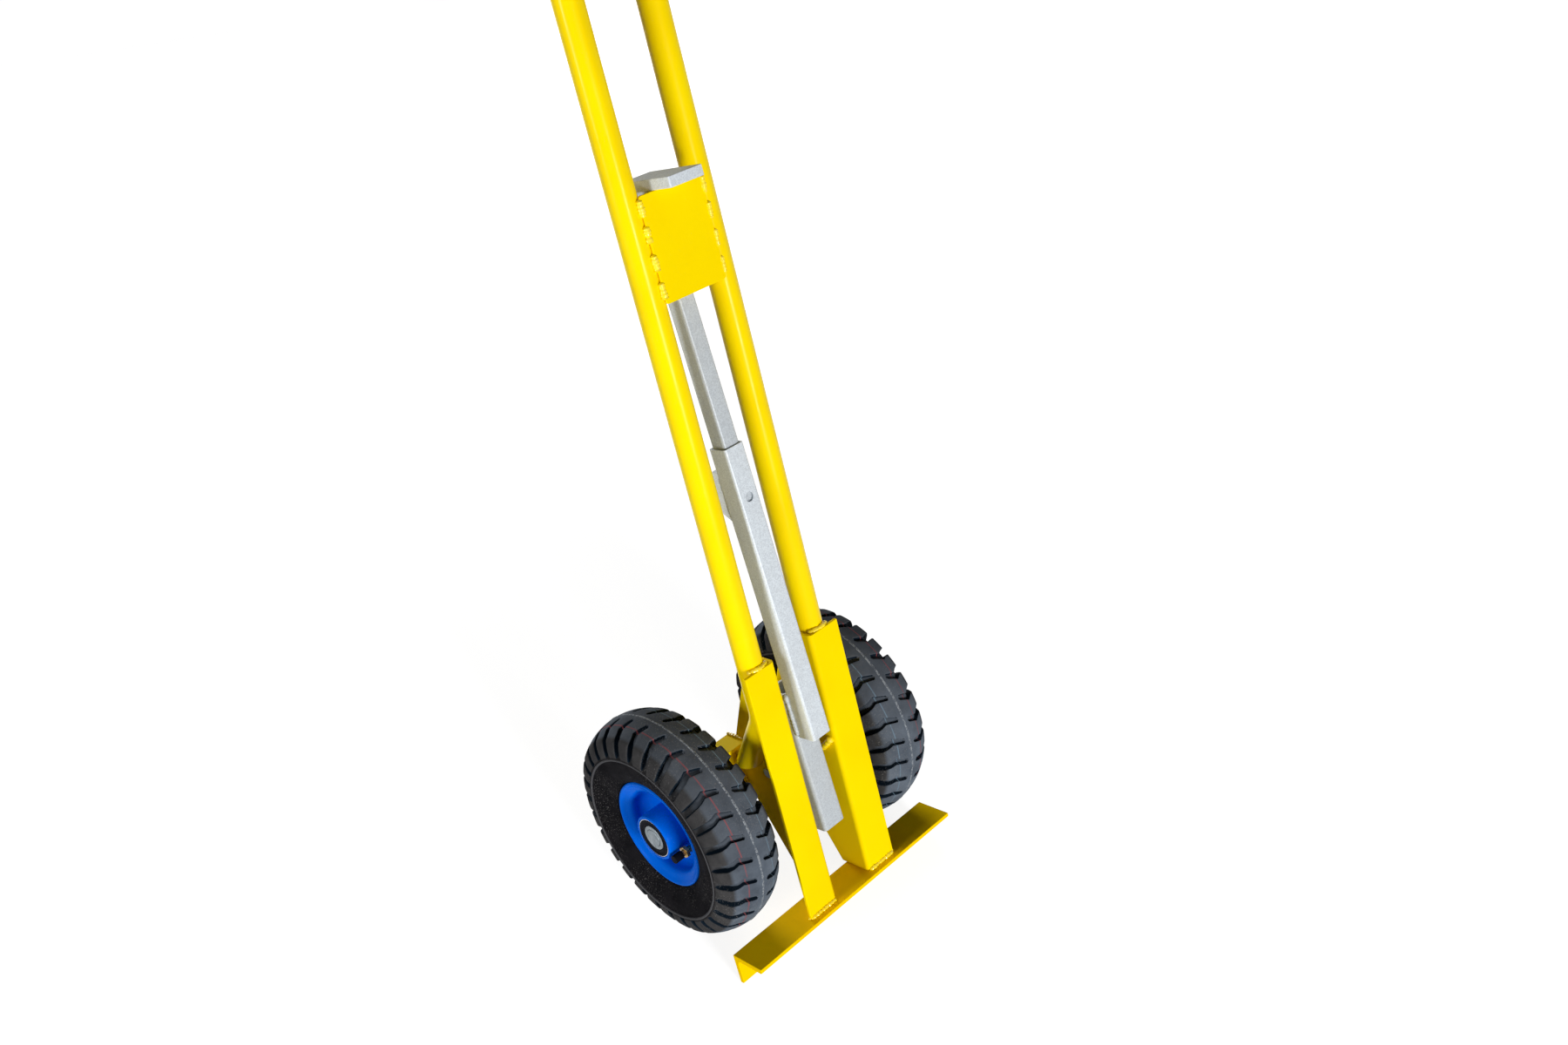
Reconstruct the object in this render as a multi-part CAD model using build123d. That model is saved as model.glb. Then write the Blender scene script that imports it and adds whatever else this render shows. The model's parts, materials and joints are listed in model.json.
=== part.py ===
from build123d import *
import os
from math import asin, atan2, cos, degrees, hypot, radians, sin, sqrt

# Tile cart. All sizes are millimetres.
# The cart is drawn upright: X along the axle, Y back from the front of the leg webs,
# Z up along the handle tubes from the top of the toe angle. At the end it is leaned
# back until the toe and both wheels stand on the floor.

# Handle tubes and grips
tube_diameter = 28.0
tube_wall = 1.5
tube_spacing = 87.6
handle_height = 1012.0
handle_reach = 155.0
handle_bend = 50.0
foot_bend_height = 241.0
foot_bend = 40.0
foot_angle = 34.0
foot_length = 110.0
foot_cut = 171.0
grip_length = 102.0
grip_wall = 3.4
grip_rib = 1.6
grip_ribs = 7
grip_collar = 7.0
grip_fit = 0.1

# Name plate, left bare
plate_width = 74.0
plate_height = 100.0
plate_thickness = 3.0
plate_top = 785.5
plate_corner = 3.0

# Legs: a front web and a deep side flange folded from one plate
leg_thickness = 4.0
leg_height = 303.0
web_edge = 66.5
fold_inside = 1.5
flange_foot = 41.5
flange_head = 41.0
flange_low_in = 8.5
flange_high_out = 11.0
flange_corner_rise = 5.0
flange_boss = 24.0
weld_gap = 0.2

# Toe angle
toe_length = 304.0
toe_depth = 45.0
toe_drop = 37.0
toe_thickness = 6.0
toe_lead = 9.3
toe_root = 5.0
toe_tip = 3.0

# Axle
axle_back = 113.8
axle_up = 127.2
axle_diameter = 20.0
axle_shift = -3.5
axle_tube_diameter = 27.0
axle_fit = 0.1
washer_thickness = 1.0
washer_diameter = 28.0
bracket_reach = 70.0
bracket_top = 184.0
bracket_depth = 30.0
bracket_rear = 112.0

# Wheels
track = 234.3
tyre_diameter = 260.0
tyre_width = 85.0
shoulder_half = 34.0
shoulder_radius = 119.0
belly_radius = 93.0
tyre_crown = 11.0
tyre_wall = 9.5
groove_count = 30
groove_inner = 8.0
groove_tip = 3.4
groove_width = 8.0
groove_depth = 4.5
groove_apex = 14.0
groove_step = 5.2
groove_return = 3.7
tread_start = 0.13
tread_stagger = 0.69
rim_sheet = 2.5
rim_lip_radius = 62.0
rim_lip_reach = 30.0
rim_seat_radius = 49.0
rim_seat_reach = 24.5
rim_disc_bend = 14.0
bead_gap = 0.4
hub_diameter = 53.0
hub_half = 36.0
bearing_outside = 47.0
bearing_width = 14.0
bearing_race = 40.0
bearing_inner_ring = 29.0
bearing_set_in = 0.5
seal_thickness = 1.6
running_gap = 0.4
valve_radius = 34.0
valve_reach = 35.0
valve_offset = 9.0
valve_diameter = 7.0
valve_bend = 8.0
valve_turn = 209.0
valve_cap_diameter = 9.5
valve_cap_length = 11.0
valve_nut_across = 12.0
valve_nut_place = 19.0
air_inset = 4.5
air_wall = 2.5

# Arm hinge
pivot_back = 60.5
pivot_up = 147.5
pivot_diameter = 12.0
pivot_fit = 0.15
side_play = 0.3
ear_thickness = 4.8
ear_end = 16.0
ear_half = 22.0
bush_diameter = 24.0
spacer_diameter = 22.0

# Arm: outer tube, sliding inner tube, tail, hook bar
arm_lean = 3.8
outer_size = 25.0
outer_front = 77.0
outer_low = 48.0
outer_high = 377.0
square_wall = 2.0
square_corner = 3.0
inner_size = 20.0
inner_end = 25.0
tail_size = 30.0
tail_wall = 3.4
tail_corner = 4.5
tail_low = -71.0
tail_high = 100.0
bar_width = 40.0
bar_length = 77.0
bar_thickness = 10.0
bar_overhang = 50.0
bar_corner = 1.5
slide_gap = 0.3

# Arm lock
lock_height = 323.0
peep_diameter = 10.0
lock_pitch = 30.0
lock_holes = 7
lock_diameter = 8.0
lock_fit = 0.3
lock_travel = 8.0
block_height = 54.0
block_width = 18.0
block_depth = 14.0
block_slope = 9.0
barrel_diameter = 20.0
barrel_length = 24.0
barrel_bore = 14.0
cap_thickness = 4.0
stem_diameter = 6.0
collar_diameter = 12.8
collar_width = 4.0
spring_wire = 1.4
spring_turns = 4.0
knob_diameter = 22.0
knob_length = 14.0

# Values that follow from the sizes above
tube_radius = tube_diameter / 2
tube_side = tube_spacing / 2
tube_back = leg_thickness + weld_gap + tube_radius
flange_outside = tube_side - tube_radius - weld_gap
flange_inside = flange_outside - leg_thickness
axle_tube_radius = axle_tube_diameter / 2
wheel_side = track / 2
tyre_radius = tyre_diameter / 2
hub_radius = hub_diameter / 2
bearing_face = hub_half - bearing_set_in
axle_tube_half = wheel_side - bearing_face - washer_thickness - axle_fit
axle_half = wheel_side + hub_half
toe_heel = toe_depth - toe_lead
arm_back = outer_front - outer_size
inner_front = outer_front - (outer_size - inner_size) / 2
inner_low = lock_height - (lock_holes - 1) * lock_pitch - inner_end
plate_gap = sqrt((tube_radius + weld_gap) ** 2 - (tube_side - plate_width / 2) ** 2)
plate_back = tube_back - plate_gap
lean_sine = sin(radians(arm_lean))
lean_cosine = cos(radians(arm_lean))
bar_low = (plate_back - pivot_back) * lean_sine + (plate_top - pivot_up) * lean_cosine + slide_gap
floor_span = hypot(axle_back - toe_heel, axle_up + toe_drop)
floor_slope = atan2(axle_up + toe_drop, axle_back - toe_heel)
cart_lean = degrees(floor_slope - asin(tyre_radius / floor_span))

nodes = {}


def block(x_span, y_span, z_span):
    """Box between two limits on each axis."""
    size = [high - low for low, high in (x_span, y_span, z_span)]
    box = Box(*size, align=(Align.MIN, Align.MIN, Align.MIN))
    return Location((x_span[0], y_span[0], z_span[0])) * box


def rod(x_start, x_end, radius, back, up):
    """Cylinder along X."""
    shape = Cylinder(radius, x_end - x_start, align=(Align.CENTER, Align.CENTER, Align.MIN))
    return Location((x_start, back, up), (0, 90, 0)) * shape


def rod_back(y_start, y_end, radius, up):
    """Cylinder along Y in the middle plane."""
    shape = Cylinder(radius, y_end - y_start, align=(Align.CENTER, Align.CENTER, Align.MIN))
    return Location((0, y_start, up), (-90, 0, 0)) * shape


def ring(x_start, x_end, outside, inside, back, up):
    """Ring about an axis along X, sizes as diameters."""
    return rod(x_start, x_end, outside / 2, back, up) - rod(x_start, x_end, inside / 2, back, up)


def other_side(shape):
    return mirror(shape, Plane.YZ)


def pair(name, shape):
    """Put a right-hand shape and its mirror image in two nodes."""
    nodes["right_" + name] = [shape]
    nodes["left_" + name] = [other_side(shape)]


def side_plate(points, x_start, x_end):
    """Flat plate whose outline lies in the Y-Z plane."""
    outline = make_face(Polyline(*points, close=True))
    return Location((x_start, 0, 0)) * extrude(Plane.YZ * outline, x_end - x_start)


# Handle tubes: bent back at the foot and cut level there, bent outwards at the top
foot_end = (
    tube_side,
    tube_back + foot_length * sin(radians(foot_angle)),
    foot_bend_height - foot_length * cos(radians(foot_angle)),
)
tube_path = FilletPolyline(
    foot_end,
    (tube_side, tube_back, foot_bend_height),
    (tube_side, tube_back, handle_height),
    (tube_side + handle_reach, tube_back, handle_height),
    radius=[foot_bend, handle_bend],
)
tube_ring = Circle(tube_radius) - Circle(tube_radius - tube_wall)
tube_plane = Plane(origin=foot_end, z_dir=tube_path % 0)
handle_tube = sweep(tube_plane * tube_ring, path=tube_path)
handle_tube -= block((0, tube_spacing), (0, foot_length), (0, foot_cut))
pair("handle_tube", handle_tube)

# Grips: ribbed sleeve with a collar, closed at the end
grip_end = tube_side + handle_reach + grip_wall
grip_start = grip_end - grip_length
grip_radius = tube_radius + grip_wall
grip = rod(grip_start, grip_end, grip_radius, tube_back, handle_height)
grip = fillet(grip.edges().group_by(Axis.X)[-1], grip_wall - 0.4)
grip_pitch = (grip_length - 2 * grip_collar) / grip_ribs
for number in range(grip_ribs):
    rib_start = grip_start + grip_collar + (number + 0.4) * grip_pitch
    grip += rod(rib_start, rib_start + 0.45 * grip_pitch, grip_radius + grip_rib, tube_back, handle_height)
grip += rod(grip_start, grip_start + grip_collar, grip_radius + grip_collar, tube_back, handle_height)
grip_bore_end = tube_side + handle_reach + grip_fit
grip -= rod(grip_start, grip_bore_end, tube_radius + grip_fit, tube_back, handle_height)
pair("grip", grip)

# Name plate: flat, set against the front of both tubes
plate_sketch = RectangleRounded(plate_width, plate_height, plate_corner)
plate_plane = Plane(origin=(0, plate_back, plate_top - plate_height / 2), x_dir=(1, 0, 0), z_dir=(0, -1, 0))
nodes["name_plate"] = [extrude(plate_plane * plate_sketch, plate_thickness)]

# Legs: the folded profile runs up the whole height, the outline trims the flange
flange_reach = axle_back + flange_boss + 1
leg_profile = Polyline(
    (flange_inside, 0),
    (web_edge, 0),
    (web_edge, leg_thickness),
    (flange_outside, leg_thickness),
    (flange_outside, flange_reach),
    (flange_inside, flange_reach),
    close=True,
)
leg_face = make_face(leg_profile)
fold_outer = leg_face.vertices().sort_by_distance(Vector(flange_inside, 0))[0]
leg_face = fillet(fold_outer, fold_inside + leg_thickness)
fold_inner = leg_face.vertices().sort_by_distance(Vector(flange_outside, leg_thickness))[0]
leg_face = fillet(fold_inner, fold_inside)
leg_blank = extrude(leg_face, leg_height)
leg_outline = side_plate(
    [
        (0, 0),
        (flange_foot, 0),
        (axle_back - flange_low_in, axle_up + flange_corner_rise),
        (axle_back + flange_high_out, axle_up + flange_corner_rise),
        (flange_head, leg_height),
        (0, leg_height),
    ],
    0,
    web_edge + 1,
)
leg_outline += rod(0, web_edge + 1, flange_boss, axle_back, axle_up)
leg = leg_blank & leg_outline
leg -= rod(0, web_edge, axle_tube_radius + axle_fit, axle_back, axle_up)
leg -= rod(0, web_edge, pivot_diameter / 2 + axle_fit, pivot_back, pivot_up)
pair("leg", leg)

# Toe angle: rolled section with a root radius and rounded toes
# The lip ahead of the webs, where the stack stands, keeps a face of its own
toe_profile = Polyline(
    (-toe_lead, 0),
    (0, 0),
    (toe_heel, 0),
    (toe_heel, -toe_drop),
    (toe_heel - toe_thickness, -toe_drop),
    (toe_heel - toe_thickness, -toe_thickness),
    (-toe_lead, -toe_thickness),
    close=True,
)
toe_face = make_face(toe_profile)
toe_inner = toe_face.vertices().sort_by_distance(Vector(toe_heel - toe_thickness, -toe_thickness))[0]
toe_face = fillet(toe_inner, toe_root)
for corner in ((toe_heel - toe_thickness, -toe_drop), (-toe_lead, -toe_thickness)):
    toe_corner = toe_face.vertices().sort_by_distance(Vector(*corner))[0]
    toe_face = fillet(toe_corner, toe_tip)
toe = Location((-toe_length / 2, 0, 0)) * extrude(Plane.YZ * toe_face, toe_length, clean=False)
nodes["toe_angle"] = [toe]

# Axle: shaft in a tube that passes through both flanges, brackets on top of it
axle_place = (axle_back, axle_up)
nodes["axle_shaft"] = [rod(-axle_half, axle_half, axle_diameter / 2, *axle_place)]
axle_bore = axle_diameter + 2 * axle_fit
nodes["axle_tube"] = [ring(-axle_tube_half, axle_tube_half, axle_tube_diameter, axle_bore, *axle_place)]
washer = ring(axle_tube_half, axle_tube_half + washer_thickness, washer_diameter, axle_bore, *axle_place)
nodes["axle_washers"] = [washer, other_side(washer)]
bracket_start = flange_outside + weld_gap
bracket_front = bracket_rear - bracket_depth
bracket = side_plate(
    [
        (bracket_front, bracket_top),
        (bracket_rear, bracket_top),
        (bracket_rear, axle_up),
        (bracket_rear - leg_thickness, axle_up),
        (bracket_rear - leg_thickness, bracket_top - leg_thickness),
        (bracket_front, bracket_top - leg_thickness),
    ],
    bracket_start,
    bracket_reach,
)
bracket -= rod(0, web_edge * 2, axle_tube_radius + weld_gap, *axle_place)
bracket_solids = sorted(bracket.solids(), key=lambda piece: piece.volume)
bracket = bracket_solids[-1]
pair("axle_bracket", bracket)

# Tyre: revolved section, X is the wheel axis and Y the radius
bead_base = rim_seat_radius + rim_sheet + bead_gap
tyre_half = tyre_width / 2
side_points = [
    (27.0, rim_lip_radius + 2.4),
    (24.5, rim_lip_radius - 2.0),
    (rim_seat_reach - rim_sheet, bead_base + 1.2),
    (rim_seat_reach - 11.0, bead_base + 0.5),
    (rim_seat_reach - 10.0, bead_base + 8.0),
]
side_top = (31.0, rim_lip_radius + 4.5)
cavity_low = side_points[-1]
cavity_side = (tyre_half - tyre_wall, belly_radius - 8)
cavity_high = (24.0, tyre_radius - tyre_crown - 4.5)


def flip(point):
    return (-point[0], point[1])


shoulder = (shoulder_half, shoulder_radius)
belly = (tyre_half, belly_radius)
cavity_top = (0, tyre_radius - tyre_crown)
tyre_edges = [
    ThreePointArc(flip(shoulder), (0, tyre_radius), shoulder),
    ThreePointArc(shoulder, belly, side_top),
    Polyline(side_top, *side_points),
    ThreePointArc(cavity_low, cavity_side, cavity_high),
    ThreePointArc(cavity_high, cavity_top, flip(cavity_high)),
    ThreePointArc(flip(cavity_high), flip(cavity_side), flip(cavity_low)),
    Polyline(*[flip(point) for point in reversed(side_points)], flip(side_top)),
    ThreePointArc(flip(side_top), flip(belly), flip(shoulder)),
]
tyre = revolve(make_face(Curve() + tyre_edges), axis=Axis.X)

# Tread: bent grooves from beside the centre rib out through the shoulder
groove_line = hypot(shoulder_half + 2 - groove_inner, tyre_radius - shoulder_radius)
groove_tilt = atan2(tyre_radius - shoulder_radius, shoulder_half + 2 - groove_inner)
groove_plane = Plane(
    origin=(groove_inner, 0, tyre_radius),
    x_dir=(cos(groove_tilt), 0, -sin(groove_tilt)),
    z_dir=(sin(groove_tilt), 0, cos(groove_tilt)),
)
groove_out = groove_line * 1.5
groove_course = [
    (-0.5 * groove_tip, 0, groove_tip / 4),
    (0, 0, groove_tip / 2),
    (groove_apex, -groove_step, groove_width / 2),
    (groove_apex + groove_step, -groove_step + 0.7 * groove_return, groove_width / 2),
    (groove_line, -groove_step + groove_return, groove_width / 2),
    (groove_out, -groove_step + groove_return, groove_width / 2 + 0.5),
]
groove_near = [(along, across - half) for along, across, half in groove_course]
groove_far = [(along, across + half) for along, across, half in groove_course]
groove_outline = Polyline(*groove_near, *reversed(groove_far), close=True)
groove = extrude(groove_plane.offset(-groove_depth) * make_face(groove_outline), 4 * groove_depth)
groove_turn = 360 / groove_count
cutters = []
for number in range(groove_count):
    groove_place = number + tread_start
    cutters.append(Rot(X=groove_place * groove_turn) * groove)
    cutters.append(Rot(X=(groove_place + tread_stagger) * groove_turn) * Rot(Z=180) * groove)
tyre = tyre - cutters

# Rim: two pressed halves back to back, each a bowl with a rolled lip
rim_face_reach = rim_sheet + axle_fit
rim_path = FilletPolyline(
    (rim_lip_reach, rim_lip_radius),
    (rim_lip_reach - 2.5, rim_lip_radius - 3.5),
    (rim_seat_reach, rim_seat_radius + 1),
    (rim_face_reach, rim_seat_radius - 0.5),
    (rim_face_reach, hub_radius + axle_fit),
    radius=[4.0, 6.0, rim_disc_bend],
)
rim_sheet_outline = offset(rim_path, amount=rim_sheet, side=Side.RIGHT)
rim_half = revolve(make_face(rim_sheet_outline), axis=Axis.X)

# Hub tube with a bearing at each end
hub = ring(-hub_half, hub_half, hub_diameter, bearing_outside + axle_fit, 0, 0)
bearing_start = bearing_face - bearing_width
outer_ring = ring(bearing_start, bearing_face, bearing_outside, bearing_race, 0, 0)
inner_ring = ring(bearing_start, bearing_face, bearing_inner_ring, axle_diameter + axle_fit, 0, 0)
seal_bore = bearing_inner_ring + 2 * running_gap
seal_outside = bearing_race - axle_fit
seal_out = ring(bearing_face - seal_thickness, bearing_face - axle_fit, seal_outside, seal_bore, 0, 0)
seal_in = ring(bearing_start + axle_fit, bearing_start + seal_thickness, seal_outside, seal_bore, 0, 0)
core = ring(-bearing_start + axle_fit, bearing_start - axle_fit, bearing_inner_ring - 4, axle_bore, 0, 0)

# Air tube and its bent valve
air_half = tyre_half - tyre_wall - air_inset
air_centre = tyre_radius - tyre_crown - air_inset + 1.5 - air_half
air_face = Circle(air_half) - Circle(air_half - air_wall)
air_tube = revolve(Location((0, air_centre)) * air_face, axis=Axis.X)
air_low = air_centre - sqrt(air_half ** 2 - (valve_offset - valve_diameter / 2) ** 2)
valve_path = FilletPolyline(
    (valve_offset, 0, air_low - axle_fit),
    (valve_offset, 0, valve_radius),
    (valve_reach, 0, valve_radius),
    radius=valve_bend,
)
valve_plane = Plane(origin=valve_path @ 0, z_dir=valve_path % 0)
valve_stem = sweep(valve_plane * Circle(valve_diameter / 2), path=valve_path)
valve_nut_plane = Plane(origin=(valve_nut_place, 0, valve_radius), z_dir=(1, 0, 0))
valve_stem += extrude(valve_nut_plane * RegularPolygon(valve_nut_across / 2, 6, major_radius=False), 4)
cap_start = valve_reach - valve_cap_length + 2
valve_cap = rod(cap_start, valve_reach + 2, valve_cap_diameter / 2, 0, valve_radius)
valve_cap -= rod(cap_start, valve_reach + axle_fit, valve_diameter / 2 + axle_fit, 0, valve_radius)
valve_hole = Location((valve_offset, 0, rim_seat_radius)) * Cylinder(valve_diameter / 2 + 0.5, 22)
valve_aim = Rot(X=valve_turn - 90)
rim_outer_half = rim_half - valve_aim * valve_hole
rim_inner_half = other_side(rim_half)
valve_stem = valve_aim * valve_stem
valve_cap = valve_aim * valve_cap

wheel_place = Location((wheel_side, *axle_place))
pair("rim_outer_half", wheel_place * rim_outer_half)
pair("rim_inner_half", wheel_place * rim_inner_half)
pair("hub", wheel_place * hub)
pair("air_tube", wheel_place * air_tube)
pair("valve_stem", wheel_place * valve_stem)
pair("valve_cap", wheel_place * valve_cap)
pair("bearing_core", wheel_place * core)
nodes["right_tyre"] = [wheel_place * tyre]
nodes["left_tyre"] = [Location((-wheel_side, *axle_place)) * tyre]
for side in (1, -1):
    side_name = "right" if side > 0 else "left"
    side_place = Location((side * wheel_side, *axle_place))
    for ring_name, shapes in (
        ("bearing_outer_rings", [outer_ring]),
        ("bearing_inner_rings", [inner_ring]),
        ("bearing_seals", [seal_out, seal_in]),
    ):
        both_ends = shapes + [other_side(shape) for shape in shapes]
        nodes[side_name + "_" + ring_name] = [side_place * shape for shape in both_ends]

# Hinge of the arm: pin through both flanges, spacers beside the ears
nodes["pivot_pin"] = [rod(-flange_outside, flange_outside, pivot_diameter / 2, pivot_back, pivot_up)]
pivot_bore = pivot_diameter + 2 * pivot_fit
ear_end_side = tail_size / 2 - tail_corner
ear_start = ear_end_side - ear_thickness
spacer_start = ear_end_side + side_play
spacer_end = flange_inside - axle_fit
spacer = ring(spacer_start, spacer_end, spacer_diameter, pivot_bore, pivot_back, pivot_up)
nodes["pivot_spacers"] = [spacer, other_side(spacer)]

# Arm, drawn about its pivot: Y back, Z along the arm
arm_place = Location((0, pivot_back, pivot_up), (-arm_lean, 0, 0))


def square_tube(size, wall, corner, front, low, high):
    """Square tube along the arm, its front face at the given distance ahead of the pivot."""
    wall_face = RectangleRounded(size, size, corner)
    hollow = size - 2 * wall
    wall_face -= RectangleRounded(hollow, hollow, corner - wall)
    return Location((0, size / 2 - front, low)) * extrude(wall_face, high - low)


outer_tube = square_tube(outer_size, square_wall, square_corner, outer_front, outer_low, outer_high)
outer_tube -= rod_back(-outer_front - 1, -outer_front + outer_size / 2, peep_diameter / 2, lock_height)
pin_bore = lock_diameter / 2 + lock_fit
outer_tube -= rod_back(-outer_front + outer_size / 2, -arm_back + 1, pin_bore, lock_height)
tail = square_tube(tail_size, tail_wall, tail_corner, arm_back, tail_low, tail_high)
inner_tube = square_tube(inner_size, square_wall, square_corner, inner_front, inner_low, bar_low)
for number in range(lock_holes):
    hole_height = lock_height - number * lock_pitch
    inner_tube -= rod_back(-inner_front + inner_size / 2, -arm_back, pin_bore, hole_height)

# Hook bar across the top of the inner tube
bar = block(
    (-bar_width / 2, bar_width / 2),
    (-bar_overhang - bar_length, -bar_overhang),
    (bar_low, bar_low + bar_thickness),
)
bar = fillet(bar.edges().filter_by(Axis.Z), bar_corner)

# Hinge ears on the flat back of the tail, a bush between them
ear_front = arm_back - tail_size - weld_gap
ear_outline = side_plate(
    [
        (-ear_front, -ear_half),
        (-ear_end, -ear_half),
        (0, -ear_end),
        (0, ear_end),
        (-ear_end, ear_half),
        (-ear_front, ear_half),
    ],
    ear_start,
    ear_end_side,
)
ear = ear_outline + rod(ear_start, ear_end_side, ear_end, 0, 0)
ear -= rod(ear_start, ear_end_side, pivot_bore / 2, 0, 0)
bush = ring(-ear_start, ear_start, bush_diameter, pivot_bore, 0, 0)

# Lock housing: sloped block on the back of the arm with a round barrel
block_low = lock_height - block_height / 2
block_high = lock_height + block_height / 2
housing = side_plate(
    [
        (-arm_back, block_low),
        (-arm_back + block_depth, block_low + block_slope),
        (-arm_back + block_depth, block_high),
        (-arm_back, block_high),
    ],
    -block_width / 2,
    block_width / 2,
)
barrel_end = -arm_back + block_depth + barrel_length
housing += rod_back(-arm_back, barrel_end, barrel_diameter / 2, lock_height)
chamber_start = -arm_back + 6
housing -= rod_back(-arm_back - 1, chamber_start, pin_bore, lock_height)
housing -= rod_back(chamber_start, barrel_end + 1, barrel_bore / 2, lock_height)
cap_front = barrel_end - cap_thickness
lock_cap = rod_back(cap_front, barrel_end, barrel_bore / 2 - axle_fit, lock_height)
lock_cap -= rod_back(cap_front - 1, barrel_end + 1, stem_diameter / 2 + lock_fit, lock_height)

# Lock pin, drawn back: tip just inside the wall, collar in front of the spring
pin_tip = -arm_back - square_wall + lock_fit
collar_front = chamber_start + lock_travel + lock_fit
collar_back = collar_front + collar_width
knob_front = barrel_end + lock_travel + 2 * lock_fit
lock_pin = rod_back(pin_tip, collar_front, lock_diameter / 2, lock_height)
lock_pin += rod_back(collar_front, collar_back, collar_diameter / 2, lock_height)
lock_pin += rod_back(collar_back, knob_front + knob_length - 4, stem_diameter / 2, lock_height)
lock_pin = chamfer(lock_pin.edges().sort_by(Axis.Y)[0], 1.0)
knob = rod_back(knob_front, knob_front + knob_length, knob_diameter / 2, lock_height)
knob = fillet(knob.edges().filter_by(GeomType.CIRCLE), 3.0)
knob_bore_end = knob_front + knob_length - 4 + axle_fit
knob -= rod_back(knob_front - 1, knob_bore_end, stem_diameter / 2 + axle_fit, lock_height)

# Lock spring, pressed together between the collar and the cap
spring_radius = (stem_diameter + barrel_bore) / 4
spring_start = collar_back + spring_wire / 2 + lock_fit
spring_length = cap_front - lock_fit - spring_wire / 2 - spring_start
spring_path = Helix(spring_length / spring_turns, spring_length, spring_radius)
spring_plane = Plane(origin=spring_path @ 0, z_dir=spring_path % 0)
spring = sweep(spring_plane * Rectangle(spring_wire, spring_wire), path=spring_path, is_frenet=True)
spring = Location((0, spring_start, lock_height), (-90, 0, 0)) * spring

arm_pieces = {
    "arm_outer_tube": [outer_tube],
    "arm_tail": [tail],
    "arm_inner_tube": [inner_tube],
    "hook_bar": [bar],
    "hinge_ears": [ear, other_side(ear)],
    "hinge_bush": [bush],
    "lock_housing": [housing],
    "lock_cap": [lock_cap],
    "lock_pin": [lock_pin],
    "lock_knob": [knob],
    "lock_spring": [spring],
}
for name, shapes in arm_pieces.items():
    nodes[name] = [arm_place * shape for shape in shapes]

# The axle and its wheels sit a little to one side of the frame's middle
wheel_pieces = (
    "tyre",
    "air_tube",
    "rim_outer_half",
    "rim_inner_half",
    "hub",
    "bearing_outer_rings",
    "bearing_inner_rings",
    "bearing_seals",
    "bearing_core",
    "valve_stem",
    "valve_cap",
)
axle_move = Location((axle_shift, 0, 0))
for name, shapes in nodes.items():
    if name.startswith("axle_") or name.partition("_")[2] in wheel_pieces:
        nodes[name] = [axle_move * shape for shape in shapes]

# Lean the cart back onto the floor and set the middle of its underside at the origin
stand = Location((0, 0, 0), (-cart_lean, 0, 0))
leaned = {}
for name, shapes in nodes.items():
    leaned[name] = [stand * shape.solid() for shape in shapes]
boxes = [solid.bounding_box() for solids in leaned.values() for solid in solids]
back_middle = (min(box.min.Y for box in boxes) + max(box.max.Y for box in boxes)) / 2
shift = Location((0, -back_middle, -min(box.min.Z for box in boxes)))
os.makedirs("parts", exist_ok=True)
for name, solids in leaned.items():
    solids = [shift * solid for solid in solids]
    piece = solids[0] if len(solids) == 1 else Compound(children=solids)
    piece.label = name
    export_step(piece, "parts/" + name + ".step")
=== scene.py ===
import json
import math
import random

import bmesh
import bpy
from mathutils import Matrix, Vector


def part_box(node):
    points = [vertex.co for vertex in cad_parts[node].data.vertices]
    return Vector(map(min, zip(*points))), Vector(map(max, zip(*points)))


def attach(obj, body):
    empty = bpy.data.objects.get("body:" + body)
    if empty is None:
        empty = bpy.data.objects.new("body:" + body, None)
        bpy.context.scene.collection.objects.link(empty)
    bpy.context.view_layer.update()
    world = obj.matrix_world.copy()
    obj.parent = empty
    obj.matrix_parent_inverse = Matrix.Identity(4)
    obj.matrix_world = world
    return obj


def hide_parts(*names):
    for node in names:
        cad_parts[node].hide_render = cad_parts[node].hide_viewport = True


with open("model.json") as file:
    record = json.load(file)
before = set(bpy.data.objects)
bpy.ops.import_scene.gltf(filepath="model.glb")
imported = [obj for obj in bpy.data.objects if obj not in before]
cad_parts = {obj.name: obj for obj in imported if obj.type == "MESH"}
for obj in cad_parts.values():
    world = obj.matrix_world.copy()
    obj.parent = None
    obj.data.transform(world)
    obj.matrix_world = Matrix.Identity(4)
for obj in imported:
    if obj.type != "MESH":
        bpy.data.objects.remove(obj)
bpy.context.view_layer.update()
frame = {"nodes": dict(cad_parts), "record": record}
scene = bpy.context.scene
NODES = frame["nodes"]
BODIES = frame["record"]["behaviour"]["bodies"]
BODY_OF = {node: body for body, names in BODIES.items() for node in names}
SLOT_OF = {row["node"]: row["material_slot"] for row in frame["record"]["subparts"]}
SIDES = {"left": -1, "right": 1}
MM = 0.001

# Sizes that the dressing follows, in millimetres; a place on the leaning frame is (back, up)
AXLE = (113.8, 127.2)
PIVOT = (60.5, 147.5)
ARM_LEAN = math.radians(3.8)
TUBE_SIDE = 43.8
TUBE_BACK = 18.2
FOOT_BEND_UP = 241.0
FOOT_ANGLE = math.radians(34.0)


def middle(node):
    """Middle of a node's box, in metres."""
    low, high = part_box(node)
    return [(a + b) / 2 for a, b in zip(low, high)]


def direction(start, end):
    """Angle of the way from one (back, up) place to another."""
    return math.atan2(end[1] - start[1], end[0] - start[0])


AXLE_MIDDLE = middle("axle_shaft")
PIVOT_MIDDLE = middle("pivot_pin")
WHEEL_CENTRE = {side: (middle(label + "_hub")[0], *AXLE_MIDDLE[1:]) for label, side in SIDES.items()}
LEAN = direction(AXLE, PIVOT) - direction(AXLE_MIDDLE[1:], PIVOT_MIDDLE[1:])


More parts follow.
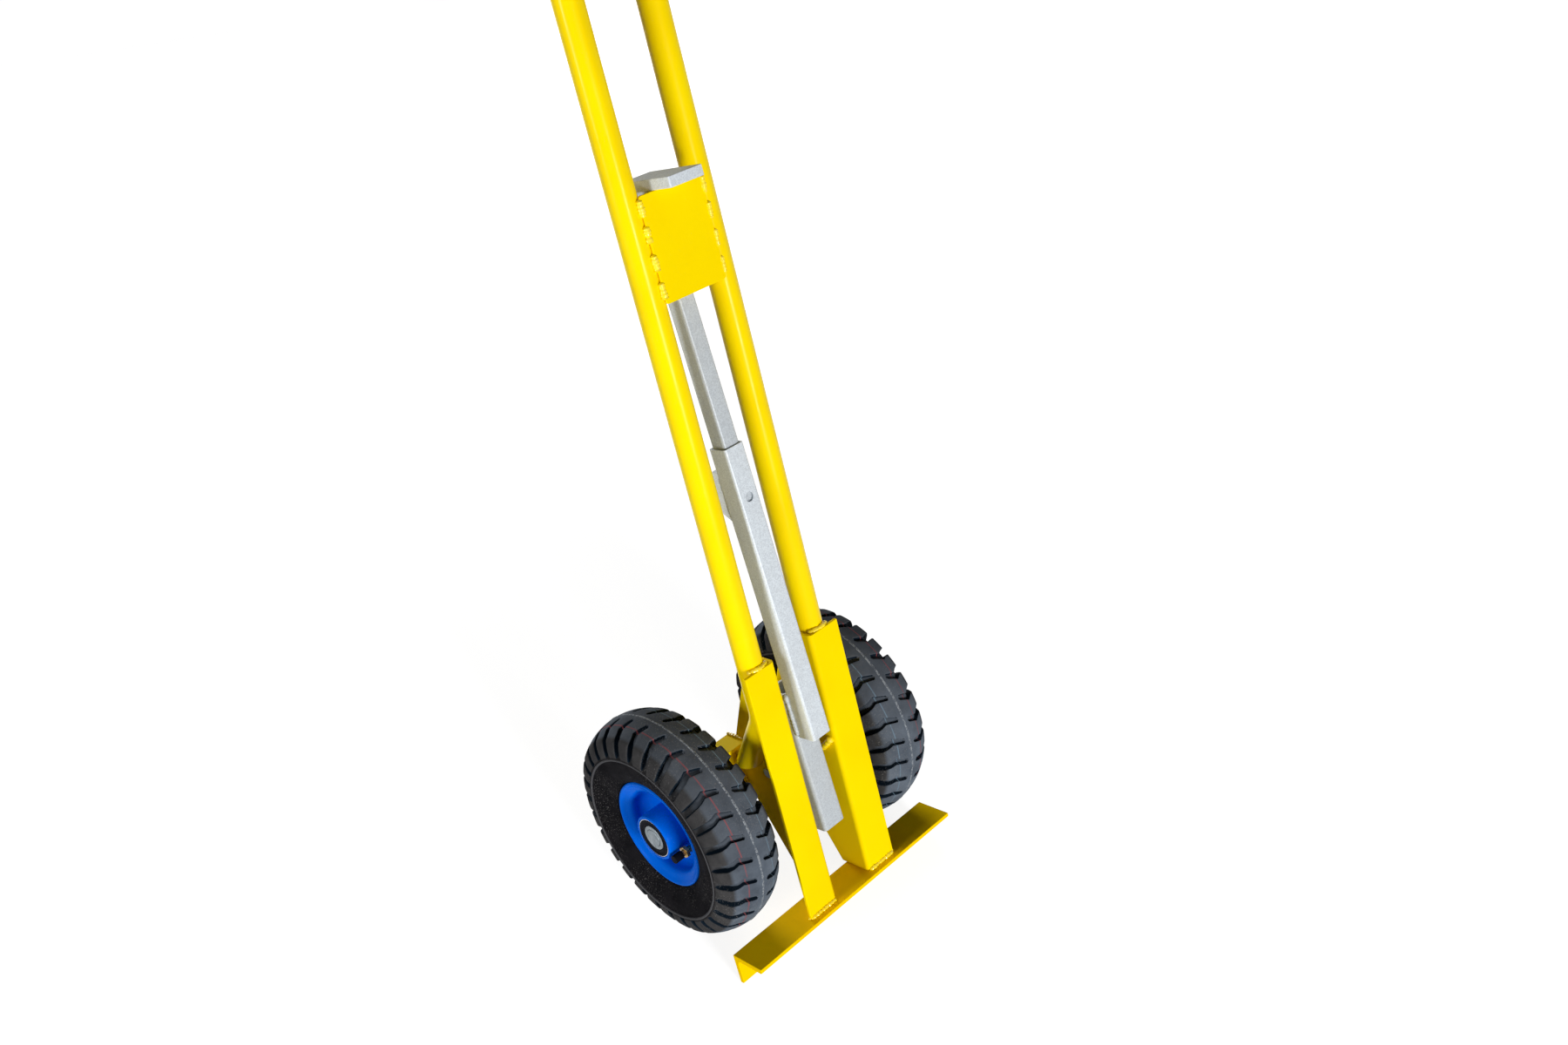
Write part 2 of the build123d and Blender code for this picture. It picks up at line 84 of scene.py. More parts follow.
def place(x, back, up):
    """Point of the leaning frame, in millimetres, as a world position in metres."""
    back = (back - AXLE[0]) * MM
    up = (up - AXLE[1]) * MM
    y = AXLE_MIDDLE[1] + back * math.cos(LEAN) + up * math.sin(LEAN)
    z = AXLE_MIDDLE[2] - back * math.sin(LEAN) + up * math.cos(LEAN)
    return Vector((x * MM, y, z))


def arm_place(x, back, along):
    """Point of the arm, in millimetres from its pivot, as a world position in metres."""
    frame_back = PIVOT[0] + back * math.cos(ARM_LEAN) + along * math.sin(ARM_LEAN)
    frame_up = PIVOT[1] - back * math.sin(ARM_LEAN) + along * math.cos(ARM_LEAN)
    return place(x, frame_back, frame_up)


# Shader nodes

def grey(value):
    return (value, value, value, 1.0)


BLACK = grey(0.0)
WHITE = grey(1.0)


def new_material(name):
    """A material, its node tree and its shader."""
    material = bpy.data.materials.new(name)
    material.use_nodes = True
    tree = material.node_tree
    return material, tree, tree.nodes["Principled BSDF"]


def feed(tree, socket, value):
    """Link another node's output to a socket, or set a plain value on it."""
    if isinstance(value, bpy.types.NodeSocket):
        tree.links.new(value, socket)
    else:
        socket.default_value = value


def add(tree, kind, **settings):
    """A new node with its inputs fed and its properties set by name."""
    node = tree.nodes.new(kind)
    for key, value in settings.items():
        if key in node.inputs:
            feed(tree, node.inputs[key], value)
        else:
            setattr(node, key, value)
    return node


def coordinates(tree):
    return add(tree, "ShaderNodeTexCoord").outputs["Object"]


def noise(tree, scale, detail, roughness=0.5):
    vector = coordinates(tree)
    node = add(tree, "ShaderNodeTexNoise", Scale=scale, Detail=detail, Roughness=roughness, Vector=vector)
    return node.outputs["Fac"]


def math_node(tree, operation, *values):
    """Result of a calculation on sockets and plain numbers."""
    node = add(tree, "ShaderNodeMath", operation=operation)
    for index, value in enumerate(values):
        feed(tree, node.inputs[index], value)
    return node.outputs[0]


def times(tree, first, second):
    return math_node(tree, "MULTIPLY", first, second)


def away_from(tree, value, middle_value):
    """Distance of a value from a middle value, to either side."""
    return math_node(tree, "ABSOLUTE", math_node(tree, "SUBTRACT", value, middle_value))


def ramp(tree, factor, stops):
    """Colour ramp through (position, colour) stops."""
    node = add(tree, "ShaderNodeValToRGB", Fac=factor)
    elements = node.color_ramp.elements
    while len(elements) < len(stops):
        elements.new(0.5)
    for element, (position, colour) in zip(elements, stops):
        element.position = position
        element.color = (*colour[:3], 1.0)
    return node.outputs["Color"]


def noise_ramp(tree, first, second, scale, detail, roughness=0.5, low=0.3, high=0.7):
    """Colour that drifts from one tone to another by noise."""
    return ramp(tree, noise(tree, scale, detail, roughness), [(low, first), (high, second)])


def noise_mask(tree, scale, detail, roughness=0.5, low=0.3, high=0.7):
    """White patches on black by noise."""
    return noise_ramp(tree, BLACK, WHITE, scale, detail, roughness, low, high)


def size_ramp(tree, size, full, stops):
    """Grey levels at (millimetres, level) stops of a size in metres, up to a full size in millimetres."""
    part = times(tree, size, 1.0 / (full * MM))
    return ramp(tree, part, [(stop / full, grey(level)) for stop, level in stops])


def mix(tree, factor, first, second):
    """Blend of two colours, each a socket or a plain colour, by a factor."""
    node = add(tree, "ShaderNodeMix", data_type="RGBA")
    for name, value in (("Factor", factor), ("A", first), ("B", second)):
        socket = next(s for s in node.inputs if s.name == name and s.enabled)
        feed(tree, socket, value)
    return next(s for s in node.outputs if s.enabled)


def edge_mask(tree, low, high):
    """Mask that is white on sharp convex edges."""
    geometry = add(tree, "ShaderNodeNewGeometry")
    return ramp(tree, geometry.outputs["Pointiness"], [(low, BLACK), (high, WHITE)])


def coat(tree, shader, colour, roughness, sheen, metallic=0.0):
    """Link a shader's colour and roughness, and set what is the same all over on its own sockets."""
    tree.links.new(colour, shader.inputs["Base Color"])
    tree.links.new(roughness, shader.inputs["Roughness"])
    shader.inputs["Specular IOR Level"].default_value = sheen
    shader.inputs["Metallic"].default_value = metallic


def bump(tree, shader, height, strength, distance):
    """Fine relief in the shader's normal."""
    node = add(tree, "ShaderNodeBump", Height=height, Strength=strength, Distance=distance)
    tree.links.new(node.outputs["Normal"], shader.inputs["Normal"])


# Materials

def paint(name, light, base, dark, roughness, sheen):
    """Sprayed gloss paint: soft flow waves, faint drift of tone, dust and small chips on edges."""
    dust_amount = 0.10
    chip_amount = 0.55
    chip_tone = 0.35
    material, tree, shader = new_material(name)
    tone = ramp(tree, noise(tree, scale=9.0, detail=2.0), [(0.3, dark), (0.5, base), (0.72, light)])
    speck = noise(tree, scale=900.0, detail=1.0)
    dust = ramp(tree, speck, [(0.7, BLACK), (0.78, WHITE)])
    dusted = mix(tree, times(tree, dust, dust_amount), tone, grey(0.5))
    scuff = noise_mask(tree, scale=60.0, detail=6.0, roughness=0.7, low=0.55, high=0.62)
    worn = times(tree, edge_mask(tree, low=0.56, high=0.66), scuff)
    chip = (*[channel * chip_tone for channel in base], 1.0)
    chipped = mix(tree, times(tree, worn, chip_amount), dusted, chip)
    gloss = noise_ramp(tree, grey(roughness - 0.06), grey(roughness + 0.1), scale=35.0, detail=4.0)
    coat(tree, shader, chipped, gloss, sheen)
    waves = math_node(tree, "ADD", noise(tree, scale=140.0, detail=2.0), times(tree, speck, 0.25))
    bump(tree, shader, waves, strength=0.10, distance=0.6 * MM)
    return material


ZINC_TONES = [(0.1, (0.55, 0.59, 0.63)), (0.5, (0.63, 0.68, 0.72)), (0.9, (0.70, 0.75, 0.79))]
ZINC_STAIN = (0.45, 0.44, 0.42, 1.0)


def crystals(tree, scale):
    """Three random values for each crystal of a spangle."""
    cells = add(tree, "ShaderNodeTexVoronoi", feature="F1", Scale=scale, Vector=coordinates(tree))
    return add(tree, "ShaderNodeSeparateColor", Color=cells.outputs["Color"]).outputs


def galvanised(name, tone_scale):
    """Hot-dipped zinc: fine spangle of pale and darker crystals, faint stains and a soft sheen."""
    fine_share = 0.85
    stain_amount = 0.25
    material, tree, shader = new_material(name)
    fine = crystals(tree, scale=1000.0)
    large = crystals(tree, scale=230.0)
    blend = math_node(tree, "ADD", times(tree, fine[0], fine_share), times(tree, large[1], 1.0 - fine_share))
    stops = [(position, [channel * tone_scale for channel in colour]) for position, colour in ZINC_TONES]
    tone = ramp(tree, blend, stops)
    stain = noise_mask(tree, scale=18.0, detail=5.0, roughness=0.6, low=0.45, high=0.8)
    stained = mix(tree, times(tree, stain, stain_amount), tone, ZINC_STAIN)
    rough = ramp(tree, fine[1], [(0.0, grey(0.30)), (1.0, grey(0.48))])
    coat(tree, shader, stained, rough, sheen=0.0, metallic=0.08)
    bump(tree, shader, fine[2], strength=0.12, distance=0.3 * MM)
    return material


RUBBER_RING = (0.085, 0.085, 0.090, 1.0)
# Near-black painted shade for the floors and walls of the tread grooves
PAINTED_GROOVE_SHADE = (0.006, 0.012, 0.020, 1.0)
RUBBER_DUST = (0.30, 0.29, 0.28, 1.0)
RED_LINE = (0.26, 0.070, 0.075, 1.0)
PALE_LINE = (0.16, 0.24, 0.31, 1.0)
SEAM_FLECK = (0.32, 0.34, 0.36, 1.0)
RING_RADIUS = 97.5
LINE_SIDE = 17.5
LINE_DRIFT = 1.2


def rubber_tone(tree, half, radius, height):
    """Bloom on the crown, tinted blue as painted sky reflection and fading to the top as painted shade;
    darker lugs and sidewall, a pale ring on the wall, painted shade in the grooves, and dust.
    """
    dust_amount = 0.3
    outside = size_ramp(tree, radius, 200.0, [(98.8, 0.0), (101.6, 1.0)])
    flat = size_ramp(tree, half, 60.0, [(0.0, 1.0), (29.4, 0.9), (33.0, 0.0)])
    # Painted shade: the crown's bloom fades towards the top of the tyre, so the top looks darker
    painted_top_shade = size_ramp(tree, height, 300.0, [(120.0, 1.0), (266.7, 0.42)])
    crown = times(tree, times(tree, flat, outside), painted_top_shade)
    # Grey bloom of the rubber, tinted blue as a painted sky reflection
    bloom_and_painted_sheen = noise_ramp(
        tree, (0.070, 0.085, 0.108), (0.150, 0.180, 0.222), scale=26.0, detail=6.0, roughness=0.62)
    wall = noise_ramp(
        tree, (0.005, 0.005, 0.006), (0.015, 0.014, 0.016), scale=40.0, detail=6.0, roughness=0.65,
        low=0.35, high=0.75)
    lug = noise_ramp(
        tree, (0.030, 0.030, 0.031), (0.066, 0.064, 0.065), scale=40.0, detail=6.0, roughness=0.65,
        low=0.3, high=0.75)
    ring_gap = away_from(tree, radius, RING_RADIUS * MM)
    ring = size_ramp(tree, ring_gap, 2.0, [(0.8, 0.9), (1.6, 0.0)])
    ringed = mix(tree, ring, mix(tree, outside, wall, lug), RUBBER_RING)
    topped = mix(tree, crown, ringed, bloom_and_painted_sheen)
    # Painted shade in the grooves, darkest on their drafted walls
    painted_groove_shade = add(tree, "ShaderNodeAttribute", attribute_name="painted_groove_shade").outputs["Fac"]
    groove_shaded = mix(tree, ramp(tree, painted_groove_shade, [(0.1, BLACK), (0.8, WHITE)]), topped, PAINTED_GROOVE_SHADE)
    speck = noise_mask(tree, scale=620.0, detail=2.0, roughness=0.6, low=0.58, high=0.68)
    patch = noise_mask(tree, scale=14.0, detail=3.0, low=0.44, high=0.60)
    dust = times(tree, times(tree, speck, patch), dust_amount)
    return mix(tree, dust, groove_shaded, RUBBER_DUST)


def rubber_lines(tree, colour, across):
    """Broken paint lines beside the centre rib and flecks along the seam, over a colour."""
    broken = noise_mask(tree, scale=75.0, detail=4.0, roughness=0.7, low=0.26, high=0.48)
    fleck = noise_mask(tree, scale=420.0, detail=3.0, roughness=0.6, low=0.42, high=0.56)
    for position, half_width, gaps, amount, line_colour in (
        (LINE_SIDE, 0.7, broken, 0.7, RED_LINE),
        (-LINE_SIDE, 0.6, broken, 0.6, PALE_LINE),
        (0.0, 1.3, fleck, 0.7, SEAM_FLECK),
    ):
        line = math_node(tree, "LESS_THAN", away_from(tree, across, position * MM), half_width * MM)
        shown = times(tree, times(tree, line, gaps), amount)
        colour = mix(tree, shown, colour, line_colour)
    return colour


def tyre_rubber(name):
    """Moulded rubber that changes with the distance from the tread's middle and from the axle."""
    material, tree, shader = new_material(name)
    x, y, z = add(tree, "ShaderNodeSeparateXYZ", Vector=coordinates(tree)).outputs
    left = WHEEL_CENTRE[-1][0]
    right = WHEEL_CENTRE[1][0]
    side = away_from(tree, x, (right + left) / 2)
    from_tread = math_node(tree, "SUBTRACT", side, (right - left) / 2)
    drift = math_node(tree, "SUBTRACT", noise(tree, scale=30.0, detail=2.0), 0.5)
    across = math_node(tree, "ADD", from_tread, times(tree, drift, LINE_DRIFT * MM))
    half = math_node(tree, "ABSOLUTE", across)
    squares = []
    for socket, centre in ((y, AXLE_MIDDLE[1]), (z, AXLE_MIDDLE[2])):
        gap = math_node(tree, "SUBTRACT", socket, centre)
        squares.append(times(tree, gap, gap))
    radius = math_node(tree, "SQRT", math_node(tree, "ADD", *squares))
    colour = rubber_lines(tree, rubber_tone(tree, half, radius, z), across)
    rough = noise_ramp(tree, grey(0.50), grey(0.70), scale=55.0, detail=5.0)
    coat(tree, shader, colour, rough, sheen=0.005)
    coarse = times(tree, noise(tree, scale=90.0, detail=4.0), 0.6)
    grain = math_node(tree, "ADD", noise(tree, scale=1500.0, detail=2.0), coarse)
    bump(tree, shader, grain, strength=0.16, distance=0.5 * MM)
    return material


def plain_grain(name, dark, light, roughness, scale, relief=0.10, metallic=0.0, sheen=0.3):
    """Turned steel, rubber or plastic: tone, roughness and fine relief from noise of three scales."""
    material, tree, shader = new_material(name)
    tone = noise_ramp(tree, dark, light, scale, detail=5.0, roughness=0.6)
    low, high = roughness
    rough = noise_ramp(tree, grey(low), grey(high), scale * 3.0, detail=4.0)
    coat(tree, shader, tone, rough, sheen, metallic)
    bump(tree, shader, noise(tree, scale * 12.0, detail=2.0), strength=relief, distance=0.3 * MM)
    return material


YELLOW = paint(
    "yellow_paint", light=(1.0, 0.76, 0.0), base=(1.0, 0.73, 0.0), dark=(0.96, 0.68, 0.0),
    roughness=0.19, sheen=0.055)
YELLOW_PLATE = paint(
    "yellow_plate", light=(1.0, 0.76, 0.0), base=(1.0, 0.73, 0.0), dark=(0.96, 0.68, 0.0),
    roughness=0.33, sheen=0.01)
# Copy of the yellow paint shifted towards orange for the toe angle: painted warm shade, as of light bounced
# between yellow parts
YELLOW_TOE_WARM_SHADE = paint(
    "yellow_toe_warm_shade", light=(1.0, 0.67, 0.0), base=(1.0, 0.64, 0.0), dark=(0.95, 0.58, 0.0),
    roughness=0.36, sheen=0.003)
YELLOW_BEAD = paint(
    "yellow_bead", light=(1.0, 0.80, 0.02), base=(1.0, 0.75, 0.0), dark=(0.94, 0.66, 0.0),
    roughness=0.12, sheen=0.50)
BLUE = paint(
    "blue_paint", light=(0.0, 0.15, 0.80), base=(0.0, 0.135, 0.73), dark=(0.0, 0.10, 0.58),
    roughness=0.22, sheen=0.015)
ZINC = galvanised("galvanised_steel", tone_scale=1.0)
DULL_ZINC = galvanised("galvanised_dull", tone_scale=0.80)
TYRE = tyre_rubber("tyre_rubber")
RUBBER = plain_grain(
    "black_rubber", dark=grey(0.012), light=grey(0.03), roughness=(0.55, 0.8), scale=90.0,
    relief=0.25, sheen=0.1)
STEEL = plain_grain(
    "bright_steel", dark=(0.14, 0.17, 0.19), light=(0.27, 0.31, 0.34), roughness=(0.28, 0.48), scale=160.0,
    metallic=0.7)
BEARING = plain_grain(
    "bearing_steel", dark=(0.45, 0.46, 0.47), light=(0.62, 0.63, 0.64), roughness=(0.15, 0.28), scale=120.0,
    relief=0.04, metallic=0.9)
PLASTIC = plain_grain(
    "black_plastic", dark=(0.006, 0.007, 0.010), light=(0.012, 0.013, 0.018), roughness=(0.40, 0.6),
    scale=120.0, relief=0.12, sheen=0.01)
BRASS = plain_grain(
    "brass", dark=(0.42, 0.27, 0.08), light=(0.62, 0.43, 0.16), roughness=(0.25, 0.45), scale=140.0,
    metallic=0.9)
SPRING = plain_grain(
    "spring_steel", dark=(0.22, 0.22, 0.23), light=(0.4, 0.4, 0.41), roughness=(0.3, 0.5), scale=140.0,
    metallic=0.8)
FINISH = {
    "yellow_paint": YELLOW, "blue_paint": BLUE, "galvanised_steel": ZINC, "tyre_rubber": TYRE,
    "black_rubber": RUBBER, "bright_steel": STEEL, "bearing_steel": BEARING, "black_plastic": PLASTIC,
    "brass": BRASS, "spring_steel": SPRING,
}


# Pieces

def new_object(name, data):
    obj = bpy.data.objects.new(name, data)
    scene.collection.objects.link(obj)
    return obj


def put(name, mesh, material, body, replaced=()):
    """A piece that rides on a body and may stand for CAD nodes."""
    obj = new_object(name, mesh)
    mesh.materials.clear()
    mesh.materials.append(material)
    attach(obj, body)
    if replaced:
        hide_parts(*replaced)
    return obj


def smooth(mesh, sharp_angle):
    """Shade a mesh smooth but for edges sharper than an angle in degrees."""
    for polygon in mesh.polygons:
        polygon.use_smooth = True
    mesh.set_sharp_from_angle(angle=math.radians(sharp_angle))


POINT_MERGE = 1e-7


def build(name, points, faces, sharp_angle, painted_groove_shade=None):
    """Mesh from world points in metres, with a value for each point on how much painted shade darkens it in a
    groove.
    """
    mesh = bpy.data.meshes.new(name)
    mesh.from_pydata(points, [], faces)
    if painted_groove_shade:
        mesh.attributes.new("painted_groove_shade", "FLOAT", "POINT").data.foreach_set("value", painted_groove_shade)
    work = bmesh.new()
    work.from_mesh(mesh)
    bmesh.ops.remove_doubles(work, verts=work.verts, dist=POINT_MERGE)
    bmesh.ops.recalc_face_normals(work, faces=work.faces)
    work.to_mesh(mesh)
    work.free()
    smooth(mesh, sharp_angle)
    return mesh


def joined(parts):
    """Points and faces of several parts in one pair of lists."""
    points = []
    faces = []
    for part_points, part_faces in parts:
        start = len(points)
        points += part_points
        faces += [tuple(start + index for index in face) for face in part_faces]
    return points, faces


def closed_grid(rows, columns):
    """Faces of a grid of points whose rows and columns both run into rings."""
    faces = []
    for row in range(rows):
        here = row * columns
        there = (row + 1) % rows * columns
        for index in range(columns):
            follow = (index + 1) % columns
            faces.append((here + index, here + follow, there + follow, there + index))
    return faces


SKIN_SHARP = 32.0
SKIN_FLAT = 0.4
SKIN_MERGE = 2e-6
SKIN_SEGMENTS = 2


def skin(node, width, material):
    """A node's own shape with its sharp edges eased by a width in millimetres."""
    name = "skin_" + node
    mesh = bpy.data.meshes.new(name)
    work = bmesh.new()
    work.from_mesh(NODES[node].data)
    bmesh.ops.remove_doubles(work, verts=work.verts, dist=SKIN_MERGE)
    flat = math.radians(SKIN_FLAT)
    bmesh.ops.dissolve_limit(work, angle_limit=flat, verts=work.verts, edges=work.edges)
    work.to_mesh(mesh)
    work.free()
    smooth(mesh, SKIN_SHARP)
    obj = put(name, mesh, material, BODY_OF[node], [node])
    bevel = obj.modifiers.new("eased", "BEVEL")
    bevel.width = width * MM
    bevel.segments = SKIN_SEGMENTS
    bevel.limit_method = "ANGLE"
    bevel.angle_limit = math.radians(SKIN_SHARP)
    bevel.harden_normals = True


# Width of the eased edges of each node that keeps its shape, in millimetres
SKINS = {
    "left_handle_tube": 0.3, "right_handle_tube": 0.3, "left_grip": 0.5, "right_grip": 0.5,
    "arm_outer_tube": 0.3, "hook_bar": 0.5, "axle_shaft": 0.8, "hinge_ears": 0.4,
    "lock_housing": 0.6, "lock_cap": 0.2, "lock_knob": 0.3,
    "pivot_pin": 0.5, "pivot_spacers": 0.3, "axle_washers": 0.2,
    "left_valve_stem": 0.2, "right_valve_stem": 0.2, "left_valve_cap": 0.4, "right_valve_cap": 0.4,
}
PLATE_SKINS = {
    "left_leg": 0.7, "right_leg": 0.7, "left_axle_bracket": 0.6, "right_axle_bracket": 0.6,
    "axle_tube": 0.4, "name_plate": 0.5,
}
for node_name, node_object in NODES.items():
    node_object.data.materials.clear()
    node_object.data.materials.append(FINISH[SLOT_OF[node_name]])
for node_name, width in SKINS.items():
    skin(node_name, width, FINISH[SLOT_OF[node_name]])
for node_name, width in PLATE_SKINS.items():
    skin(node_name, width, YELLOW_PLATE)
# Toe angle in the orange-shifted copy of the yellow paint: painted warm shade
skin("toe_angle", 0.7, YELLOW_TOE_WARM_SHADE)
skin("arm_inner_tube", 0.3, DULL_ZINC)
skin("arm_tail", 0.3, DULL_ZINC)
skin("lock_pin", 0.2, ZINC)

# Tyre section as (across, radius) in millimetres, from the crown's middle over the wall to the bead
TYRE_RADIUS = 130.0
CROWN_RADIUS = 58.05
CROWN_CENTRE = TYRE_RADIUS - CROWN_RADIUS
CROWN = [(x, CROWN_CENTRE + math.sqrt(CROWN_RADIUS ** 2 - x * x)) for x in range(0, 31, 2)]
SHOULDER = [
    (31.6, 120.6), (33.0, 119.6), (34.1, 118.3), (35.0, 116.6), (36.3, 113.8), (37.8, 110.4), (39.1, 106.8),
    (39.9, 103.6), (40.1, 101.2),
]
WALL_RING = [(39.9, 99.8), (39.8, 99.0), (40.5, 98.3), (40.7, 97.5), (40.3, 96.7), (39.2, 96.0), (38.6, 95.0)]
WALL = [(38.5, 93.0), (38.0, 90.0), (37.2, 85.5), (35.8, 80.5), (34.0, 75.5), (32.3, 71.0), (31.2, 67.6)]
BEAD_SEAT = [
    (29.8, 65.4), (27.6, 64.5), (25.4, 62.2), (24.2, 60.0), (22.0, 53.1), (13.5, 52.4), (14.5, 59.9),
]
CAVITY = [
    (22.0, 68.0), (28.5, 76.0), (32.0, 84.0), (33.0, 92.0), (31.6, 101.0), (28.4, 108.5), (24.0, 114.5),
    (16.0, 117.4), (8.0, 118.6),
]
CAVITY_RADIUS = 119.0

# Grid of the tread: columns round the tyre, and rows at lengths along the section from the crown's middle
GROOVES = 30
PITCH = 2 * math.pi / GROOVES
HALF_COLUMNS = 8
COLUMNS = range(-HALF_COLUMNS, HALF_COLUMNS)
PITCH_COLUMNS = len(COLUMNS)
TOTAL_COLUMNS = GROOVES * PITCH_COLUMNS
EVEN_ANGLES = [2 * math.pi * index / TOTAL_COLUMNS - PITCH / 2 for index in range(TOTAL_COLUMNS)]
STAGGER = 5
TREAD_PHASE = math.radians(10.4)
TREAD_SHARP = 52.0
TREAD_SEED = 7
TREAD_ROWS = [
    0.0, 0.5, 1.1, 2.2, 4.0, 5.6, 6.6, 7.2, 7.7, 8.3, 9.0, 10.0, 11.4, 13.0, 14.6, 16.2, 17.8, 19.2,
    20.4, 21.3, 22.0, 22.7, 23.6, 24.8, 26.2, 27.8, 29.4, 30.9, 32.2, 33.4, 34.5, 35.6, 36.8, 38.2,
    39.8, 41.6, 43.6, 45.8, 48.2, 50.6, 52.8, 54.6, 56.0,
]
PLAIN_GAP = 0.3
EVENING_ROWS = 5
SLOPE_REACH = 0.4

# A groove, by the length along the section: its step round the tyre, its width and its depth
GROOVE_START = 8.3
GROOVE_TIP = 1.9
GROOVE_TIP_LEAST = 0.05
GROOVE_DEPTH = 4.6
GROOVE_DEEPENS = (6.2, 7.4)
SHOULDER_DEPTH = 2.6
SHOULDER_DEEPENS = (26.0, 36.0)
GROOVE_STEP = [
    (GROOVE_START, 0.0), (21.3, -4.95), (22.0, -5.15), (22.7, -4.9), (27.8, -2.7), (33.4, -1.5), (41.6, -0.9),
    (50.6, 0.0),
]
GROOVE_WIDTH = [(GROOVE_START, 6.5), (14.6, 7.6), (22.0, 9.0), (27.8, 9.2)]
GROOVE_FADE = [(42.0, 1.0), (49.0, 0.82), (54.0, 0.5), (57.0, 0.0)]

# Columns counted from a groove's line: its floor, its drafted wall and the block beside it
COLUMN_DEPTH = {0: 1.0, 1: 0.98, 2: 0.84, 3: 0.22, 4: 0.04}
# Share of painted groove shade at each column, full on the drafted wall
COLUMN_SHADE = {0: 0.15, 1: 0.4, 2: 1.0, 3: 0.9}
COLUMN_GAP = 0.12
COLUMNS_PART = (2.4, 6.0)
WALL_SHARES = (1.0, 0.72, 0.26, 0.0)
BLOCK_MARKS = (0.7, 2.6, 5.4)
DRAFT_LEAST = 0.65
DRAFT_GROWTH = 0.02
# Groove depth at which the painted groove shade is full
SHADE_DEPTH = 3.0

# Raised seam round the crown, uneven in height, and raised lugs at the shoulder
SEAM_REACH = 1.0
SEAM_HEIGHT = 0.45
SEAM_WAVER = 0.2
WAVER_COLUMNS = 4
LUG_HEIGHT = 0.5
LUG_RISES = (34.0, 40.0)
LUG_FALLS = (48.0, 55.0)


def measure(points):
    """Length along a section at each of its points."""
    lengths = [0.0]
    for first, second in zip(points, points[1:]):
        lengths.append(lengths[-1] + math.dist(first, second))
    return lengths


TREAD = CROWN + SHOULDER + WALL_RING + WALL + BEAD_SEAT
TREAD_LENGTH = measure(TREAD)


def ease(value, low, high):
    """Share from nought at low to one at high, with soft ends."""
    part = min(max((value - low) / (high - low), 0.0), 1.0)
    return part * part * (3 - 2 * part)


def line_at(value, stops):
    """Height at a value on straight lines through (value, height) stops."""
    for (a, b), (c, d) in zip(stops, stops[1:]):
        if value <= c:
            return b + (d - b) * min(max((value - a) / (c - a), 0.0), 1.0)
    return stops[-1][1]


def curve_at(a, b, c, d, part):
    """Value at a part of the way from b to c on a smooth curve through four values."""
    return 0.5 * (2 * b + (c - a) * part + (2 * a - 5 * b + 4 * c - d) * part ** 2
                  + (3 * b - a - 3 * c + d) * part ** 3)


def section_point(length):
    """Point of the tyre's section at a length along it."""
    last = len(TREAD) - 1
    index = next((i for i in range(last) if length <= TREAD_LENGTH[i + 1]), last - 1)
    part = (length - TREAD_LENGTH[index]) / (TREAD_LENGTH[index + 1] - TREAD_LENGTH[index])
    before, start, end, after = (TREAD[min(max(index + step, 0), last)] for step in (-1, 0, 1, 2))
    if index == 0:
        before = (-end[0], end[1])
    return [curve_at(*values, part) for values in zip(before, start, end, after)]


def inward(length):
    """Unit vector from the tread surface into the rubber."""
    if length < SLOPE_REACH:
        return (0.0, -1.0)
    before = section_point(length - SLOPE_REACH)
    after = section_point(length + SLOPE_REACH)
    across = after[0] - before[0]
    rise = after[1] - before[1]
    size = math.hypot(across, rise)
    return (rise / size, -across / size)


def groove_shape(length):
    """Step round the tyre, width and depth of a groove."""
    step = line_at(length, GROOVE_STEP)
    width = line_at(length, GROOVE_WIDTH)
    if length < GROOVE_START:
        tip = (GROOVE_START - length) / GROOVE_TIP
        width *= math.sqrt(max(1.0 - tip ** 2, GROOVE_TIP_LEAST))
    depth = GROOVE_DEPTH * ease(length, *GROOVE_DEEPENS) + SHOULDER_DEPTH * ease(length, *SHOULDER_DEEPENS)
    return step, width, depth * line_at(length, GROOVE_FADE)


def column(number, length, radius):
    """Angle of a column from its groove's line, share of the groove's depth, and its share of painted groove
    shade.
    """
    step, width, _ = groove_shape(length)
    half = width / 2
    draft = min(DRAFT_LEAST + DRAFT_GROWTH * length, half / 2)
    pitch_length = PITCH * radius
    wall_marks = [half - share * draft for share in WALL_SHARES]
    block_marks = [half + mark for mark in BLOCK_MARKS]
    marks = [0.0, *wall_marks, *block_marks, pitch_length / 2]
    size = abs(number)
    even = pitch_length * size / PITCH_COLUMNS
    offset = even + (max(marks[size], COLUMN_GAP * size) - even) * ease(length, *COLUMNS_PART)
    angle = (math.copysign(offset, number) + step) / radius
    return angle, COLUMN_DEPTH.get(size, 0.0), COLUMN_SHADE.get(size, 0.0)


def tread_row(length, waver):
    """Points round the tread at a length along the section, as (angle, across, radius, painted groove shade).
    """
    across, radius = section_point(length)
    in_across, in_radius = inward(length)
    depth = groove_shape(length)[2]
    lug = LUG_HEIGHT * ease(length, *LUG_RISES) * (1.0 - ease(length, *LUG_FALLS))
    row = []
    for pitch in range(GROOVES):
        for number in COLUMNS:
            angle, share, dark = column(number, length, radius)
            sink = depth * share - lug * (1.0 - share)
            if length < SEAM_REACH:
                flash = waver[(pitch * PITCH_COLUMNS + number + HALF_COLUMNS) // WAVER_COLUMNS]
                sink = -(SEAM_HEIGHT + SEAM_WAVER * flash) * (SEAM_REACH - length)
            sunk_across = across + in_across * sink
            sunk_radius = radius + in_radius * sink
            # Painted shade in the groove, stronger in deeper grooves
            groove_shade = dark * min(depth / SHADE_DEPTH, 1.0)
            row.append((pitch * PITCH + angle, sunk_across, sunk_radius, groove_shade))
    return row


